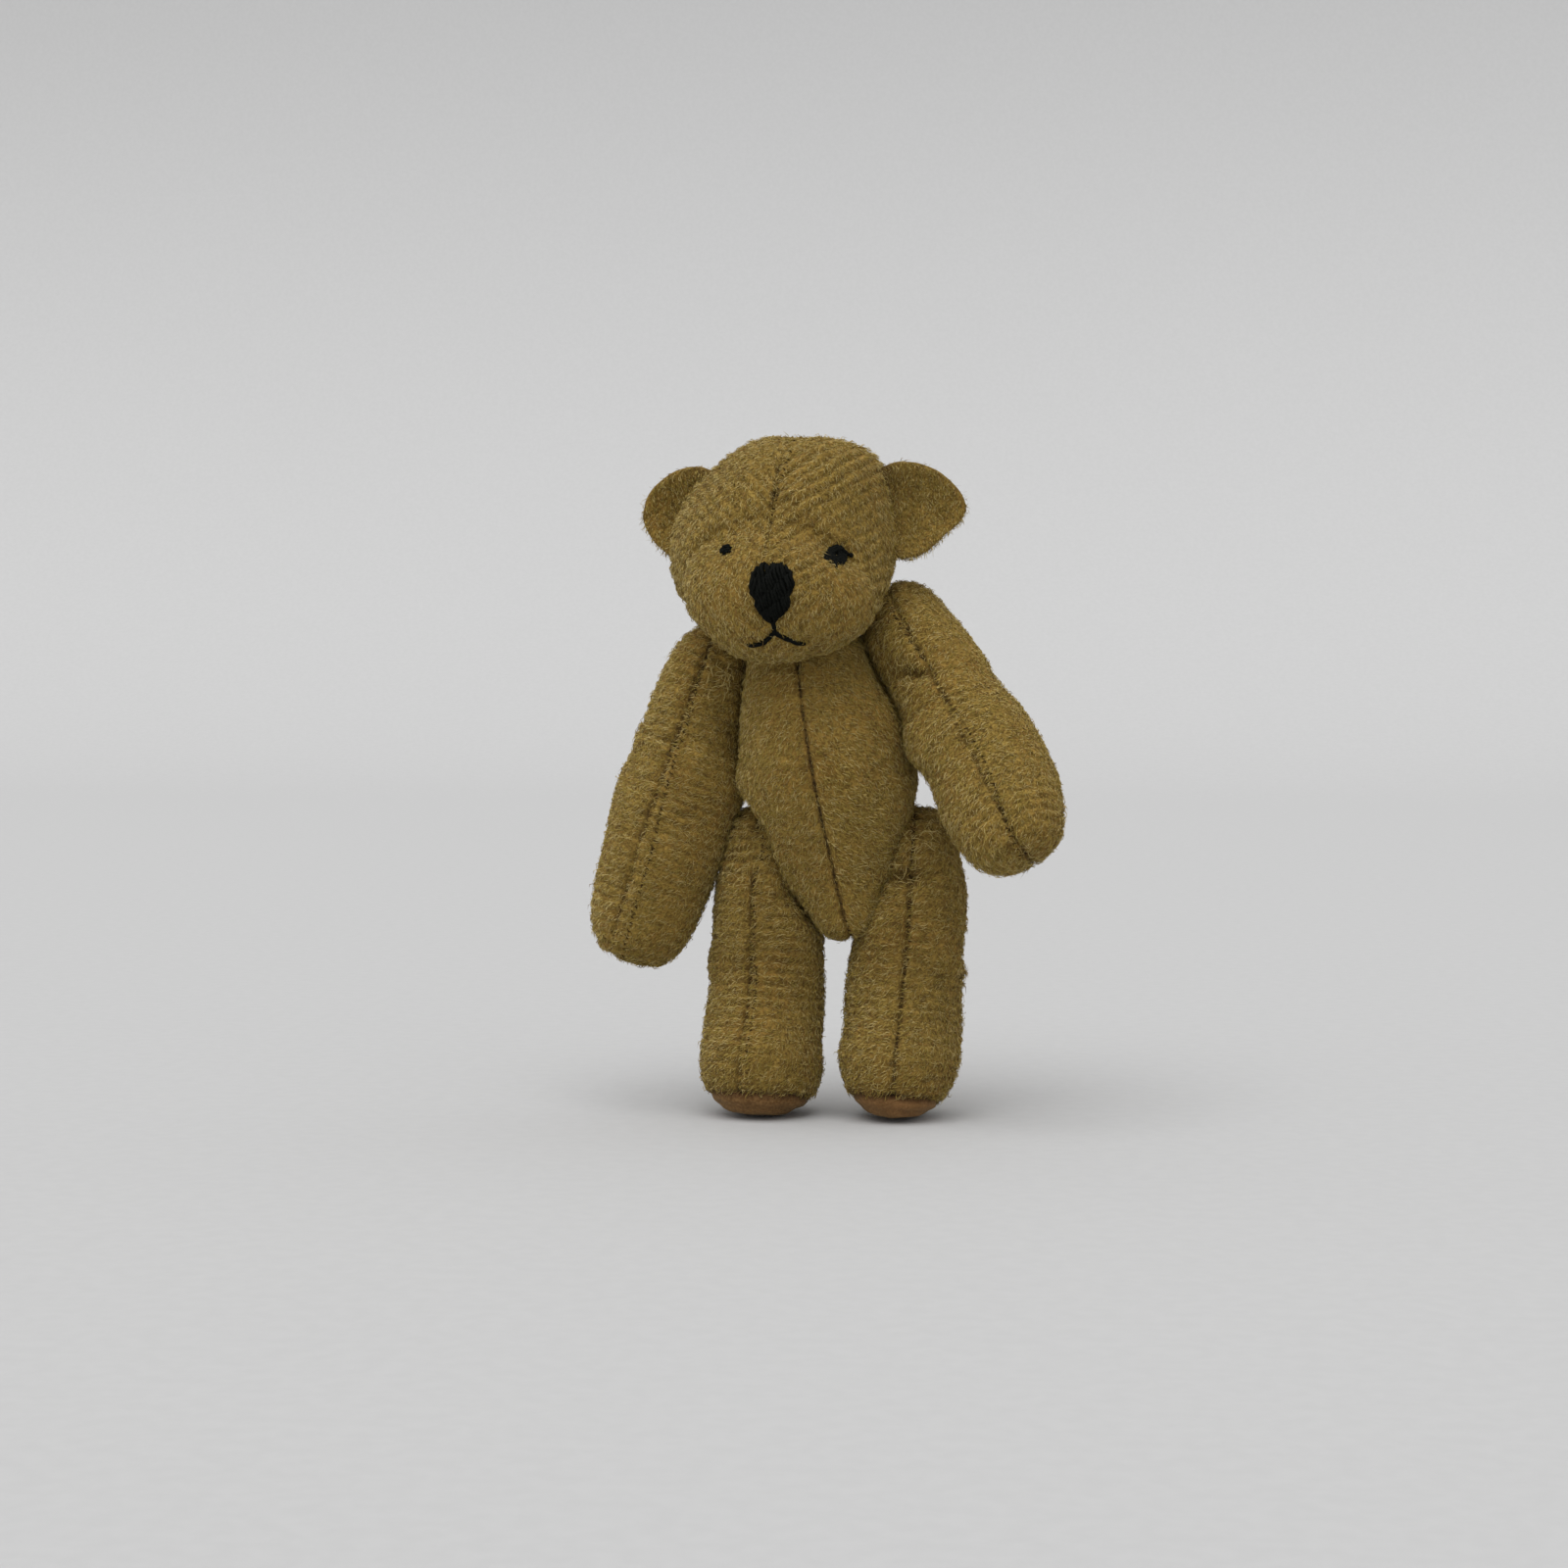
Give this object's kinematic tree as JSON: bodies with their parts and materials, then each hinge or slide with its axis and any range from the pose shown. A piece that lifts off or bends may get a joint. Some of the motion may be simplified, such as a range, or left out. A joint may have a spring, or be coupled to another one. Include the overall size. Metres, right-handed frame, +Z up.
{
  "type": "jointed teddy bear",
  "caption": "Small five-way jointed teddy bear: round head with ears and stitched face, pear-shaped torso, long tapered arms and legs turning on disc joints, standing on its soles.",
  "frame": {"origin": "on the floor under the middle of the standing bear, between the soles", "axes": "+Z up from the soles to the top of the head, +Y from the face to the back, +X towards the bear's own left"},
  "size_m": [0.0591, 0.0286, 0.0796],
  "materials": {
    "golden_felt": "matte",
    "sole_felt": "matte",
    "brown_thread": "matte",
    "black_thread": "matte",
    "stuffing": "matte",
    "fibreboard": "matte",
    "steel_washer": "satin",
    "steel_pin": "satin"
  },
  "bodies": {
    "torso": {"torso_right_panel": "golden_felt", "torso_seam_stitches": "brown_thread", "torso_left_panel": "golden_felt", "torso_stuffing": "stuffing", "neck_body_disc": "fibreboard", "left_shoulder_body_disc": "fibreboard", "left_hip_body_disc": "fibreboard", "right_shoulder_body_disc": "fibreboard", "right_hip_body_disc": "fibreboard", "body_washers": "steel_washer"},
    "head": {"head_right_panel": "golden_felt", "head_seam_stitches": "brown_thread", "head_left_panel": "golden_felt", "head_stuffing": "stuffing", "left_ear_front": "golden_felt", "left_ear_back": "golden_felt", "right_ear_front": "golden_felt", "right_ear_back": "golden_felt", "nose_stitches": "black_thread", "mouth_stitches": "black_thread", "left_eye": "black_thread", "right_eye": "black_thread", "neck_disc": "fibreboard", "neck_washer": "steel_washer", "neck_cotter_pin": "steel_pin"},
    "left_arm": {"left_arm_inner_panel": "golden_felt", "left_arm_seam_stitches": "brown_thread", "left_arm_outer_panel": "golden_felt", "left_arm_stuffing": "stuffing", "left_shoulder_disc": "fibreboard", "left_shoulder_washer": "steel_washer", "left_shoulder_cotter_pin": "steel_pin"},
    "right_arm": {"right_arm_inner_panel": "golden_felt", "right_arm_seam_stitches": "brown_thread", "right_arm_outer_panel": "golden_felt", "right_arm_stuffing": "stuffing", "right_shoulder_disc": "fibreboard", "right_shoulder_washer": "steel_washer", "right_shoulder_cotter_pin": "steel_pin"},
    "left_leg": {"left_leg_inner_panel": "golden_felt", "left_leg_seam_stitches": "brown_thread", "left_leg_outer_panel": "golden_felt", "left_leg_sole": "sole_felt", "left_leg_stuffing": "stuffing", "left_hip_disc": "fibreboard", "left_hip_washer": "steel_washer", "left_hip_cotter_pin": "steel_pin"},
    "right_leg": {"right_leg_inner_panel": "golden_felt", "right_leg_seam_stitches": "brown_thread", "right_leg_outer_panel": "golden_felt", "right_leg_sole": "sole_felt", "right_leg_stuffing": "stuffing", "right_hip_disc": "fibreboard", "right_hip_washer": "steel_washer", "right_hip_cotter_pin": "steel_pin"}
  },
  "joints": [
    {"name": "neck", "type": "hinge", "parent": "torso", "child": "head", "pos_m": [-0.00252, 0.00391, 0.05578], "axis": [-0.0872, 0, 0.9962], "range_deg": [-10, 10]},
    {"name": "left_shoulder", "type": "hinge", "parent": "torso", "child": "left_arm", "pos_m": [0.0055, 0.00591, 0.05327], "axis": [-0.9135, 0, -0.4067], "range_deg": [-45, 45]},
    {"name": "right_shoulder", "type": "hinge", "parent": "torso", "child": "right_arm", "pos_m": [-0.00929, 0.00591, 0.05079], "axis": [-0.9962, 0, 0.0872], "range_deg": [-45, 75]},
    {"name": "left_hip", "type": "hinge", "parent": "torso", "child": "left_leg", "pos_m": [0.00797, 0.00611, 0.0312], "axis": [-0.9877, -0.0518, 0.1478], "range_deg": [-45, 75]},
    {"name": "right_hip", "type": "hinge", "parent": "torso", "child": "right_leg", "pos_m": [-0.00483, 0.00611, 0.0312], "axis": [-0.9877, 0.0518, -0.1478], "range_deg": [-45, 75]}
  ]
}
